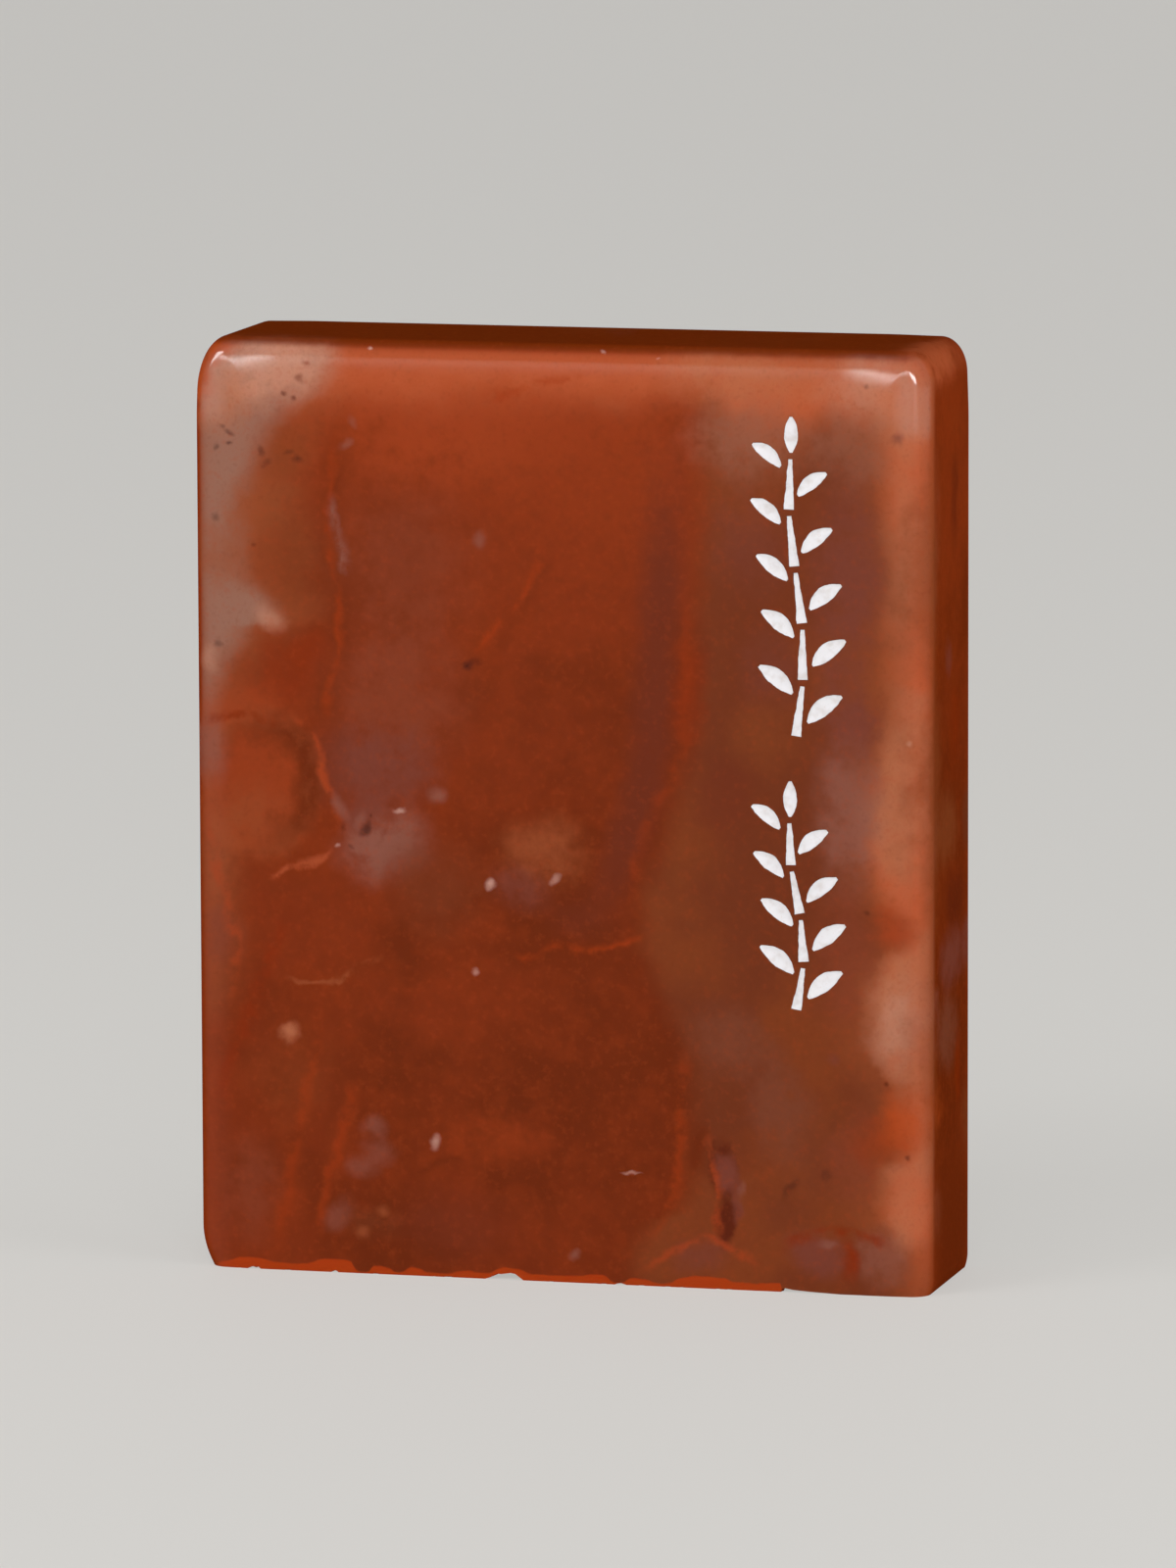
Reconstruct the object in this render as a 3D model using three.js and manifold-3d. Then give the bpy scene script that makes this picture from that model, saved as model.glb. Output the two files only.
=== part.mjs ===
// A flat seal stamp of polished stone that stands on its carved face.
// Millimetres, +Z up. The origin is the middle of the carved face, and -Y is the decorated front.
import * as THREE from "three";
import { mergeVertices } from "three/addons/utils/BufferGeometryUtils.js";
import Module from "manifold-3d";

const wasm = await Module();
wasm.setup();

// Stone block
const blockWidth = 40;
const blockDepth = 10.3;
const blockHeight = 49.9;
const edgeRadius = 1; // rounding of the long edges of the front and the back
const leftCornerReach = 1.8; // how far the left top corner's curve runs along the top
const leftCornerDrop = 2.9; // and down the side
const rightCornerReach = 1.4;
const rightCornerDrop = 1.9;
const leftFootTuck = 0.6; // how far the left side draws in at the foot
const leftFootRise = 2.2; // and the height at which it starts to
const rightFootTuck = 0.15;
const rightFootRise = 0.8;

// Carved seal face: a relief of a frame round a waving stem with leaves
const faceDepth = 0.6;
const frameWidth = 0.8;
const waveLength = 12.8;
const stemWidth = 0.9;
const stemClearOfFrame = 1.1; // between the stem's crests and the frame
const faceLeafLength = 5.2;
const faceLeafWidth = 2;
const faceLeafBase = 0.7;
const faceLeafTip = 0.35;
const faceLeafTilt = 22; // degrees from straight across the face

// Gaps worn through the front of the frame, left to right, as seen on the foot of the front
const frameGaps = [
  { fromLeft: 2.8, width: 0.6, height: 0.13 },
  { fromLeft: 7.4, width: 0.35, height: 0.1 },
  { fromLeft: 16.05, width: 1.8, height: 0.36 },
  { fromLeft: 32, width: 3, height: 0.1 },
];
const gapSlope = 1.2; // how far each end of such a gap leans inwards for its height
const gapPastFrame = 0.2; // how far such a gap runs on behind the frame

// Engraved column of two leafy sprigs on the front
const columnFromRight = 7.15; // middle of the column to the right side
const columnFromTop = 3.5;
const upperSprigHeight = 16.8;
const lowerSprigHeight = 12.1;
const betweenSprigs = 2.4;
const sway = 0.4; // how far the stems wave to each side
const upperStemCuts = 5;
const lowerStemCuts = 4;
const stemCutGap = 0.35; // stone left between two cuts of a stem
const stemCutWidth = 0.55; // at the broad end of a cut
const stemCutTip = 0.22;
const leafLength = 2.35; // of the lowest leaves
const leafShrink = 0.2; // share of the length that is gone at the tip leaf
const leafWidth = 0.92;
const leafTip = 0.14; // width of a leaf's two ends
const leafBow = 0.14; // how far a leaf arches
const leafFromStem = 0.5; // between a leaf's base and the middle of the stem
const leafAngle = 38; // degrees between a leaf and level

// Pigment in the cuts
const cutDepth = 0.35;
const pigmentGap = 0.03; // around and behind each fill, so that it and the stone stay apart
const pigmentSunk = 0.05; // the fill's face below the stone's

const smooth = 6; // segments in a quarter round
const stemSteps = 16; // segments along one wave of the seal face's stem
const overshoot = 1; // how far a cutting solid runs past the surface that it opens
const halfWidth = blockWidth / 2;
const front = -blockDepth / 2;
const skirt = 2 * edgeRadius; // how far the rounded block runs on below the foot until it is ground

// Solid modelling helpers
function toSolid(geometry) {
  const bare = geometry.clone();
  bare.deleteAttribute("normal");
  bare.deleteAttribute("uv");
  const merged = mergeVertices(bare, 1e-4);
  return new wasm.Manifold(
    new wasm.Mesh({
      numProp: 3,
      vertProperties: merged.attributes.position.array,
      triVerts: new Uint32Array(merged.index.array),
    }),
  );
}

function toGeometry(solid) {
  const mesh = solid.getMesh();
  const geometry = new THREE.BufferGeometry();
  geometry.setAttribute("position", new THREE.BufferAttribute(mesh.vertProperties, 3));
  geometry.setIndex(new THREE.BufferAttribute(mesh.triVerts, 1));
  geometry.computeVertexNormals();
  return geometry;
}

function box(x0, x1, y0, y1, z0, z1) {
  const geometry = new THREE.BoxGeometry(x1 - x0, y1 - y0, z1 - z0);
  return geometry.translate((x0 + x1) / 2, (y0 + y1) / 2, (z0 + z1) / 2);
}

// A shape drawn in the XZ plane, pushed back from y0 to y1.
function pushedBack(shape, y0, y1) {
  const geometry = new THREE.ExtrudeGeometry(shape, {
    depth: y1 - y0,
    bevelEnabled: false,
    curveSegments: smooth,
  });
  return geometry.rotateX(Math.PI / 2).translate(0, y1, 0);
}

// One knife cut or leaf along +X from the origin: an outline that swells or tapers and arches,
// grown on every side by grow.
function cutOutline({ length, base, middle, tip, bow = 0, grow = 0 }) {
  const start = -grow;
  const end = length + grow;
  const halfBase = base / 2 + grow;
  const halfTip = tip / 2 + grow;
  const swell = middle + 2 * grow - (halfBase + halfTip) / 2;
  const arch = 2 * bow;
  const shape = new THREE.Shape();
  shape.moveTo(start, -halfBase);
  shape.quadraticCurveTo(length / 2, arch - swell, end, -halfTip);
  shape.lineTo(end, halfTip);
  shape.quadraticCurveTo(length / 2, arch + swell, start, halfBase);
  return shape;
}

// Stone
function blockOutline() {
  const shape = new THREE.Shape();
  shape.moveTo(-halfWidth + leftFootTuck, -skirt);
  shape.lineTo(halfWidth - rightFootTuck, -skirt);
  shape.lineTo(halfWidth - rightFootTuck, 0);
  shape.quadraticCurveTo(halfWidth, rightFootRise / 2, halfWidth, rightFootRise);
  shape.lineTo(halfWidth, blockHeight - rightCornerDrop);
  shape.absellipse(
    halfWidth - rightCornerReach,
    blockHeight - rightCornerDrop,
    rightCornerReach,
    rightCornerDrop,
    0,
    Math.PI / 2,
    false,
    0,
  );
  shape.lineTo(-halfWidth + leftCornerReach, blockHeight);
  shape.absellipse(
    -halfWidth + leftCornerReach,
    blockHeight - leftCornerDrop,
    leftCornerReach,
    leftCornerDrop,
    Math.PI / 2,
    Math.PI,
    false,
    0,
  );
  shape.lineTo(-halfWidth, leftFootRise);
  shape.quadraticCurveTo(-halfWidth, leftFootRise / 2, -halfWidth + leftFootTuck, 0);
  return shape;
}

// The rounded block, made longer downwards and ground off flat at the foot.
function roundedBlock() {
  const geometry = new THREE.ExtrudeGeometry(blockOutline(), {
    depth: blockDepth - 2 * edgeRadius,
    bevelThickness: edgeRadius,
    bevelSize: edgeRadius,
    bevelOffset: -edgeRadius,
    bevelSegments: smooth,
    curveSegments: smooth,
  });
  geometry.rotateX(Math.PI / 2).translate(0, blockDepth / 2 - edgeRadius, 0);
  const ground = box(-blockWidth, blockWidth, -blockDepth, blockDepth, -skirt - overshoot, 0);
  return toSolid(geometry).subtract(toSolid(ground));
}

// The waving stem of the seal face as a flat ribbon, seen from above.
function stemRibbon(halfLength, swing) {
  const steps = Math.round((stemSteps * 2 * halfLength) / waveLength);
  const edge = (side, i) => {
    const x = -halfLength + (2 * halfLength * i) / steps;
    const turn = (2 * Math.PI * x) / waveLength;
    const lean = (2 * Math.PI * swing * Math.cos(turn)) / waveLength;
    const reach = (side * stemWidth * Math.hypot(1, lean)) / 2;
    return new THREE.Vector2(x, swing * Math.sin(turn) + reach);
  };
  const along = [...Array(steps + 1).keys()];
  const lower = along.map((i) => edge(-1, i));
  const upper = along.map((i) => edge(1, i)).reverse();
  return new THREE.Shape([...lower, ...upper]);
}

// What is cut away from the foot: the field inside the frame, less the stem and its leaves.
function faceRecess() {
  const fieldHalfLength = halfWidth - Math.max(leftFootTuck, rightFootTuck) - frameWidth;
  const fieldHalfWidth = blockDepth / 2 - frameWidth;
  const swing = fieldHalfWidth - stemClearOfFrame - stemWidth / 2;
  const raise = { depth: faceDepth + 2 * overshoot, bevelEnabled: false, curveSegments: smooth };
  const stem = stemRibbon(fieldHalfLength + overshoot, swing);
  let relief = toSolid(new THREE.ExtrudeGeometry(stem, raise));
  const leafOutline = cutOutline({
    length: faceLeafLength,
    base: faceLeafBase,
    middle: faceLeafWidth,
    tip: faceLeafTip,
  });
  const crestsEachSide = Math.floor((2 * fieldHalfLength) / waveLength + 0.5);
  for (let i = -crestsEachSide; i < crestsEachSide; i += 1) {
    const side = i % 2 === 0 ? 1 : -1;
    const leaf = new THREE.ExtrudeGeometry(leafOutline, raise);
    leaf.rotateZ(-side * THREE.MathUtils.degToRad(90 - faceLeafTilt));
    leaf.translate(((i + 0.5) * waveLength) / 2, side * swing, 0);
    relief = relief.add(toSolid(leaf));
  }
  const field = box(
    -fieldHalfLength,
    fieldHalfLength,
    -fieldHalfWidth,
    fieldHalfWidth,
    -overshoot,
    faceDepth,
  );
  return toSolid(field).subtract(relief.translate([0, 0, -overshoot]));
}

function frameGap({ fromLeft, width, height }) {
  const left = -halfWidth + fromLeft;
  const lean = gapSlope * height;
  const shape = new THREE.Shape();
  shape.moveTo(left, -overshoot);
  shape.lineTo(left + width, -overshoot);
  shape.lineTo(left + width, 0);
  shape.lineTo(left + width - lean, height);
  shape.lineTo(left + lean, height);
  shape.lineTo(left, 0);
  return pushedBack(shape, front - overshoot, front + frameWidth + gapPastFrame);
}

// Engraved sprigs: the places of their cuts in the plane of the front
function sprigCuts(name, top, height, stemCuts) {
  const middle = halfWidth - columnFromRight;
  const foot = top - height;
  const stemTop = height - leafLength * (1 - leafShrink);
  const centre = (rise) => middle + sway * Math.sin((2 * Math.PI * rise) / height);
  const pitch = stemTop / stemCuts;
  const cuts = [];
  for (let i = 0; i < stemCuts; i += 1) {
    const low = i * pitch;
    const high = low + pitch - stemCutGap;
    const run = centre(high) - centre(low);
    cuts.push({
      name: `${name}_stem_${i + 1}`,
      x: centre(low),
      z: foot + low,
      angle: Math.atan2(high - low, run),
      outline: {
        length: Math.hypot(high - low, run),
        base: stemCutWidth,
        middle: (stemCutWidth + stemCutTip) / 2,
        tip: stemCutTip,
      },
    });
  }
  const leafAt = (rise) => ({
    length: leafLength * (1 - (leafShrink * rise) / stemTop),
    base: leafTip,
    middle: leafWidth * (1 - (leafShrink * rise) / stemTop),
    tip: leafTip,
  });
  for (let i = 0; i < 2 * stemCuts; i += 1) {
    const side = i % 2 ? -1 : 1;
    const rise = ((i + 0.5) * pitch) / 2;
    const lift = THREE.MathUtils.degToRad(leafAngle);
    cuts.push({
      name: `${name}_leaf_${i + 1}`,
      x: centre(rise) + side * leafFromStem,
      z: foot + rise,
      angle: side > 0 ? lift : Math.PI - lift,
      outline: { ...leafAt(rise), bow: side * leafBow },
    });
  }
  cuts.push({
    name: `${name}_tip_leaf`,
    x: centre(stemTop),
    z: foot + stemTop,
    angle: Math.PI / 2,
    outline: leafAt(stemTop),
  });
  return cuts;
}

// A cut's prism between two depths behind the front, grown or at its own size.
function cutPrism(cut, from, to, grow) {
  const geometry = pushedBack(cutOutline({ ...cut.outline, grow }), from, to);
  return geometry.rotateY(-cut.angle).translate(cut.x, front, cut.z);
}

const sprigTop = blockHeight - columnFromTop;
const cuts = [
  ...sprigCuts("upper_sprig", sprigTop, upperSprigHeight, upperStemCuts),
  ...sprigCuts(
    "lower_sprig",
    sprigTop - upperSprigHeight - betweenSprigs,
    lowerSprigHeight,
    lowerStemCuts,
  ),
];

function stoneBlock() {
  let stone = roundedBlock().subtract(faceRecess());
  for (const gap of frameGaps) {
    stone = stone.subtract(toSolid(frameGap(gap)));
  }
  for (const cut of cuts) {
    stone = stone.subtract(toSolid(cutPrism(cut, -overshoot, cutDepth, pigmentGap)));
  }
  const material = new THREE.MeshStandardMaterial({
    color: 0x7d2f16,
    roughness: 0.25,
    metalness: 0,
  });
  const mesh = new THREE.Mesh(toGeometry(stone), material);
  mesh.name = "stone_block";
  return mesh;
}

function pigmentFill(cut) {
  const material = new THREE.MeshStandardMaterial({
    color: 0xebe8f0,
    roughness: 0.9,
    metalness: 0,
  });
  const mesh = new THREE.Mesh(cutPrism(cut, pigmentSunk, cutDepth - pigmentGap, 0), material);
  mesh.name = cut.name;
  return mesh;
}

const group = new THREE.Group();
group.add(stoneBlock());
for (const cut of cuts) {
  group.add(pigmentFill(cut));
}

export default group;
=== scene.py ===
import math
import random

import bmesh
import bpy
from mathutils import Matrix, Vector, noise


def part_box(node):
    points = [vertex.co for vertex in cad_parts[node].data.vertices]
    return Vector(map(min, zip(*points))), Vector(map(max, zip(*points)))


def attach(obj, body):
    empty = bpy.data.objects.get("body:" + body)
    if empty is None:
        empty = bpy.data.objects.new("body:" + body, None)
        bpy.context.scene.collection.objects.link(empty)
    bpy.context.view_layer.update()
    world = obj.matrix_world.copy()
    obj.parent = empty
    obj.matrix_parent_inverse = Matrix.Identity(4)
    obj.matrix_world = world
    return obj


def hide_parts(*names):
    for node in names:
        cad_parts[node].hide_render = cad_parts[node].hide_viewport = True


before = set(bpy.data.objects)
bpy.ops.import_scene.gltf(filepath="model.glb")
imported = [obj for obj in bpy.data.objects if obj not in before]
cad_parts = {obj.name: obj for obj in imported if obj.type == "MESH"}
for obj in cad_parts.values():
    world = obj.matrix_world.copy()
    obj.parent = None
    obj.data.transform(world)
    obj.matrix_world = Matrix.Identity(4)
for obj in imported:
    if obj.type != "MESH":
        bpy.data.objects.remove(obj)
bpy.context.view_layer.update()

# A flat seal stamp of polished, mottled stone that stands on its carved face, with two sprigs of
# knife cuts filled with white pigment on its front. Lengths are millimetres, and meshes are made
# in millimetres and shrunk to metres when they are done.
mm = 0.001
stoneLow, stoneHigh = [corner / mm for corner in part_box("stone_block")]
halfWidth = stoneHigh.x
front = stoneLow.y
back = stoneHigh.y
blockHeight = stoneHigh.z


# Camera
camera = {
    "azimuth": 14.62,  # degrees to the right of straight ahead
    "down": 8.06,
    "roll": -0.2,
    "aim": (0.25, 0.0, 25.96),
    "distance": 608.8,
    "lens": 263.2,
}


def makeCamera():
    side = math.radians(camera["azimuth"])
    down = math.radians(camera["down"])
    roll = math.radians(camera["roll"])
    ahead = Vector((-math.sin(side) * math.cos(down), math.cos(side) * math.cos(down), -math.sin(down)))
    right = Vector((math.cos(side), math.sin(side), 0))
    up = right.cross(ahead)
    leanRight = right * math.cos(roll) + up * math.sin(roll)
    leanUp = up * math.cos(roll) - right * math.sin(roll)
    place = (Vector(camera["aim"]) - ahead * camera["distance"]) * mm
    data = bpy.data.cameras.new("camera")
    data.lens = camera["lens"]
    made = bpy.data.objects.new("camera", data)
    turn = Matrix((leanRight, leanUp, -ahead)).transposed().to_4x4()
    made.matrix_world = Matrix.Translation(place) @ turn
    bpy.context.scene.collection.objects.link(made)
    bpy.context.scene.camera = made


# Shader writing
class Wire:  # one socket, on which plain maths works
    def __init__(self, shader, socket):
        self.shader = shader
        self.socket = socket

    def __add__(self, other):
        return self.shader.maths("ADD", self, other)

    def __radd__(self, other):
        return self.shader.maths("ADD", other, self)

    def __sub__(self, other):
        return self.shader.maths("SUBTRACT", self, other)

    def __rsub__(self, other):
        return self.shader.maths("SUBTRACT", other, self)

    def __mul__(self, other):
        return self.shader.maths("MULTIPLY", self, other)

    def __rmul__(self, other):
        return self.shader.maths("MULTIPLY", other, self)

    def __truediv__(self, other):
        return self.shader.maths("DIVIDE", self, other)

    def __abs__(self):
        return self.shader.maths("ABSOLUTE", self)


class Shader:
    def __init__(self, name):
        self.material = bpy.data.materials.new(name)
        self.material.use_nodes = True
        self.tree = self.material.node_tree
        self.tree.nodes.clear()

    # Any node: its type, its settings, then the values or links of its sockets.
    def node(self, kind, settings=None, sockets=None):
        made = self.tree.nodes.new(kind)
        for key, value in (settings or {}).items():
            if key == "route":
                self.bendCurve(made.mapping, value)
            else:
                setattr(made, key, value)
        for key, value in (sockets or {}).items():
            if isinstance(value, Wire):
                self.tree.links.new(value.socket, made.inputs[key])
            else:
                made.inputs[key].default_value = value
        return made

    def bendCurve(self, mapping, points):
        line = mapping.curves[0]
        while len(line.points) < len(points):
            line.points.new(0.5, 0.5)
        for point, place in zip(line.points, points):
            point.location = place
        mapping.update()

    def out(self, made, output=0):
        return Wire(self, made.outputs[output])

    def maths(self, operation, *values):
        return self.out(self.node("ShaderNodeMath", {"operation": operation}, dict(enumerate(values))))

    def vectors(self, operation, first, second):
        return self.out(self.node("ShaderNodeVectorMath", {"operation": operation}, {0: first, 1: second}))

    def scaled(self, vector, factor):
        return self.out(self.node("ShaderNodeVectorMath", {"operation": "SCALE"}, {0: vector, 3: factor}))

    def mix(self, mask, first, second, blend="MIX"):
        settings = {"data_type": "RGBA", "blend_type": blend}
        return self.out(self.node("ShaderNodeMix", settings, {0: mask, 6: first, 7: second}), 2)

    # 0 below low and top above high, or the other way round where low is the larger.
    def ease(self, value, low, high, top=1):
        settings = {"interpolation_type": "SMOOTHSTEP"}
        return self.out(self.node("ShaderNodeMapRange", settings, {0: value, 1: low, 2: high, 4: top}))

    def speckle(self, place, scale, detail=3, roughness=0.5, output=0):
        sockets = {"Vector": place, "Scale": scale, "Detail": detail, "Roughness": roughness}
        return self.out(self.node("ShaderNodeTexNoise", None, sockets), output)

    def axes(self, vector):
        made = self.node("ShaderNodeSeparateXYZ", None, {0: vector})
        return [self.out(made, i) for i in range(3)]

    # Millimetres in the block's own place.
    def place(self):
        sockets = {"Vector": self.out(self.node("ShaderNodeTexCoord"), 3), "Scale": (1 / mm,) * 3}
        return self.out(self.node("ShaderNodeMapping", None, sockets))

    def finish(self, surface):
        self.node("ShaderNodeOutputMaterial", None, {"Surface": self.out(surface)})
        return self.material


def tone(red, green, blue):  # a colour from its 0 to 255 screen values
    levels = [value / 255 for value in (red, green, blue)]
    return [v / 12.92 if v < 0.04045 else ((v + 0.055) / 1.055) ** 2.4 for v in levels] + [1]


# Floor, backdrop and light
studio = {
    "floorTone": (226, 224, 220),
    "glow": 0.6,  # share of the paper's own paleness in what the camera sees
    "floorReach": 3000,
    "backdropFrom": 900,  # behind the stamp, where the floor starts to curve up
    "backdropRadius": 500,
    "backdropSteps": 24,
    "worldLevel": 0.21,
}
# Lamps: degrees to the right of straight ahead and up from the stamp, distance, size, power, and
# whether polished stone mirrors them.
lamps = {
    "key": {"side": -44, "up": 20, "far": 650, "size": (300, 220), "watts": 1.34, "mirrored": True},
    "fill": {"side": 75, "up": 15, "far": 650, "size": (400, 300), "watts": 1.6, "mirrored": False},
    "above": {"side": -5, "up": 40, "far": 650, "size": (700, 250), "watts": 0.8, "mirrored": False},
    "strip": {"side": -15, "up": 5.7, "far": 650, "size": (500, 16), "watts": 0.22, "mirrored": True},
    "spark": {"side": 20, "up": 8.6, "far": 650, "size": (300, 110), "watts": 1.1, "mirrored": True},
}


def makeFloor():
    reach = studio["floorReach"]
    bendFrom = studio["backdropFrom"]
    radius = studio["backdropRadius"]
    side = [(-reach, 0.0), (bendFrom, 0.0)]
    steps = studio["backdropSteps"]
    for i in range(1, steps + 1):
        turn = i / steps * math.pi / 2
        side.append((bendFrom + radius * math.sin(turn), radius * (1 - math.cos(turn))))
    side.append((bendFrom + radius, reach))
    sheet = bmesh.new()
    rows = [[sheet.verts.new((x * mm, y * mm, z * mm)) for x in (-reach, reach)] for y, z in side]
    for near, far in zip(rows, rows[1:]):
        sheet.faces.new((near[0], near[1], far[1], far[0]))
    mesh = bpy.data.meshes.new("studio_floor")
    sheet.to_mesh(mesh)
    sheet.free()
    for face in mesh.polygons:
        face.use_smooth = True
    floor = bpy.data.objects.new("studio_floor", mesh)
    bpy.context.scene.collection.objects.link(floor)
    shader = Shader("studio_paper")
    sockets = {"Base Color": tone(*studio["floorTone"]), "Roughness": 0.6, "Specular IOR Level": 0.2}
    paper = shader.node("ShaderNodeBsdfPrincipled", None, sockets)
    pale = shader.node("ShaderNodeEmission", None, {"Color": tone(*studio["floorTone"])})
    path = shader.node("ShaderNodeLightPath")
    seen = [shader.out(path, name) for name in ("Is Camera Ray", "Is Glossy Ray", "Is Transmission Ray")]
    share = (seen[0] + seen[1] + seen[2]) * studio["glow"]
    mesh.materials.append(shader.finish(shader.node("ShaderNodeMixShader", None, {
        0: share, 1: shader.out(paper), 2: shader.out(pale)})))


def makeLamps():
    for name, lamp in lamps.items():
        data = bpy.data.lights.new(name, "AREA")
        data.shape = "RECTANGLE"
        data.size = lamp["size"][0] * mm
        data.size_y = lamp["size"][1] * mm
        data.energy = lamp["watts"]
        made = bpy.data.objects.new(name, data)
        made.visible_glossy = lamp["mirrored"]
        side = math.radians(lamp["side"])
        up = math.radians(lamp["up"])
        away = Vector((math.sin(side) * math.cos(up), -math.cos(side) * math.cos(up), math.sin(up)))
        place = (Vector((0, 0, blockHeight / 2)) + away * lamp["far"]) * mm
        made.matrix_world = Matrix.Translation(place) @ away.to_track_quat("Z", "Y").to_matrix().to_4x4()
        bpy.context.scene.collection.objects.link(made)
    world = bpy.data.worlds.new("studio")
    world.use_nodes = True
    sky = world.node_tree.nodes["Background"]
    sky.inputs["Color"].default_value = (1, 1, 1, 1)
    sky.inputs["Strength"].default_value = studio["worldLevel"]
    bpy.context.scene.world = world
    bpy.context.scene.view_settings.view_transform = "Standard"


# Mesh helpers
def newPiece(name, shape):
    mesh = bpy.data.meshes.new(name)
    bmesh.ops.recalc_face_normals(shape, faces=shape.faces)
    shape.to_mesh(mesh)
    shape.free()
    piece = bpy.data.objects.new(name, mesh)
    bpy.context.scene.collection.objects.link(piece)
    return piece


# A closed solid through rings that have the same number of points, alone or added to a shape.
def loft(rings, shape=None):
    if shape is None:
        shape = bmesh.new()
    rows = [[shape.verts.new(point) for point in ring] for ring in rings]
    for near, far in zip(rows, rows[1:]):
        for i in range(len(near)):
            shape.faces.new((near[i - 1], near[i], far[i], far[i - 1]))
    shape.faces.new(rows[0])
    shape.faces.new(rows[-1])
    return shape


# A closed solid from a grid of points: its faces, walls from its rim to the places that foot gives,
# and a lid over those.
def closeGrid(shape, grid, foot):
    for near, far in zip(grid, grid[1:]):
        for i in range(len(near) - 1):
            shape.faces.new((near[i], near[i + 1], far[i + 1], far[i]))
    rightSide = [line[-1] for line in grid[1:-1]]
    leftSide = [line[0] for line in grid[-2:0:-1]]
    rim = grid[0] + rightSide + grid[-1][::-1] + leftSide
    ring = [shape.verts.new(foot(v.co)) for v in rim]
    for i in range(len(rim)):
        shape.faces.new((rim[i - 1], rim[i], ring[i], ring[i - 1]))
    shape.faces.new(ring)


def settle(piece):  # keeps what the modifiers make, without them
    graph = bpy.context.evaluated_depsgraph_get()
    old = piece.data
    piece.data = bpy.data.meshes.new_from_object(piece.evaluated_get(graph))
    piece.modifiers.clear()
    bpy.data.meshes.remove(old)


def carve(piece, cutter, crossing=False):  # crossing: the cutter's own shells overlap
    change = piece.modifiers.new("carve", "BOOLEAN")
    change.operation = "DIFFERENCE"
    change.solver = "EXACT"
    change.use_self = crossing
    change.object = cutter
    settle(piece)
    print("  carved", cutter.name, "->", len(piece.data.polygons), "faces")
    used = cutter.data
    bpy.data.objects.remove(cutter)
    bpy.data.meshes.remove(used)


# Smooth shading that breaks at edges sharper than the angle, with flat faces kept flat.
def shadeSmooth(piece, degrees):
    mesh = piece.data
    for face in mesh.polygons:
        face.use_smooth = True
    mesh.set_sharp_from_angle(angle=math.radians(degrees))
    weigh = piece.modifiers.new("weigh", "WEIGHTED_NORMAL")
    weigh.keep_sharp = True
    settle(piece)


def toMetres(piece):
    piece.data.transform(Matrix.Scale(mm, 4))


def bezier(start, control, end, steps):  # the points of a quadratic curve after its start
    points = []
    for i in range(1, steps + 1):
        t = i / steps
        x = (1 - t) ** 2 * start[0] + 2 * t * (1 - t) * control[0] + t * t * end[0]
        y = (1 - t) ** 2 * start[1] + 2 * t * (1 - t) * control[1] + t * t * end[1]
        points.append((x, y))
    return points


# Stone block
block = {
    "edgeRadius": 1.0,  # rounding of the long edges of the front and the back
    "cornerGrowth": 0.4,  # share by which it is deeper at the top corners
    "cornerFall": 0.4,  # and by which the faces fall away more there
    "cornerReach": (4.4, 1.2),  # distances from a corner between which it grows
    "cornerLead": 3.6,  # how far the outline's extra points run from a corner
    "leadSteps": 6,
    "fallWidth": 2.3,  # width over which these faces fall away to the rounding
    "fallDepth": 0.1,
    "fallSteps": 8,
    "leftCorner": (1.8, 2.9),  # how far it runs along the top and down the side
    "rightCorner": (1.4, 1.9),
    "leftFoot": (0.6, 2.2),  # how far the side draws in, and from what height
    "rightFoot": (0.15, 0.8),
    "skirt": 2.0,  # the block's length below the foot until it is ground off
    "roundSteps": 12,
    "cornerSteps": 20,
    "footSteps": 8,
    "smoothBelow": 28,  # degrees
}
carvedFace = {
    "depth": 0.6,
    "frame": 0.8,
    "draft": 0.1,  # how far its walls lean in by the floor
    "wave": 12.8,
    "stem": 0.9,
    "stemClear": 1.1,
    "leafLength": 5.2,
    "leafWidth": 2.0,
    "leafBase": 0.7,
    "leafTip": 0.35,
    "leafTilt": 22,
    "floorStep": 0.3,
    "floorRipple": 0.06,
    "stemSteps": 20,  # in one wave
    "stemWaver": 0.08,  # share by which its width strays
    "leafSteps": 10,
}
# Bites out of the frame at the foot of the front: distance from the left side and height.
bites = {
    "leftNick": [(2.72, 0.0), (2.85, 0.09), (3.05, 0.12), (3.2, 0.07), (3.34, 0.11), (3.45, 0.0)],
    "pinNick": [(7.36, 0.0), (7.45, 0.08), (7.58, 0.1), (7.68, 0.07), (7.76, 0.0)],
    "notch": [(15.85, 0.0), (16.1, 0.08), (16.35, 0.2), (16.5, 0.3), (16.75, 0.29), (17.0, 0.33),
              (17.25, 0.37), (17.5, 0.33), (17.68, 0.2), (17.85, 0.08), (17.95, 0.0)],
    "midNick": [(22.95, 0.0), (23.1, 0.06), (23.3, 0.09), (23.45, 0.05), (23.6, 0.0)],
    "rightWedge": [(32.0, 0.0), (32.06, 0.16), (32.25, 0.2), (32.7, 0.13), (33.6, 0.07), (35.2, 0.0)],
}
biteDepth = carvedFace["frame"] + 0.2  # right through the frame
# How a bite wanders on its way in: share of its depth and shift to the right.
biteSway = [(0.0, 0.0), (0.45, 0.07), (1.0, -0.05)]
chips = {
    "seed": 7,
    "count": 46,
    "size": (0.05, 0.16),
    "ends": (1.6, 1.4),  # how far they stay from the left and the right end
    "perEndChip": 6,  # one of so many sits on a short side of the frame
    "stretch": (1.0, 2.6),
    "crumple": (0.8, 1.2),
    "sunk": 0.35,  # share of its size
}
overshoot = 1.0  # how far cutters reach past what they cut


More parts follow.
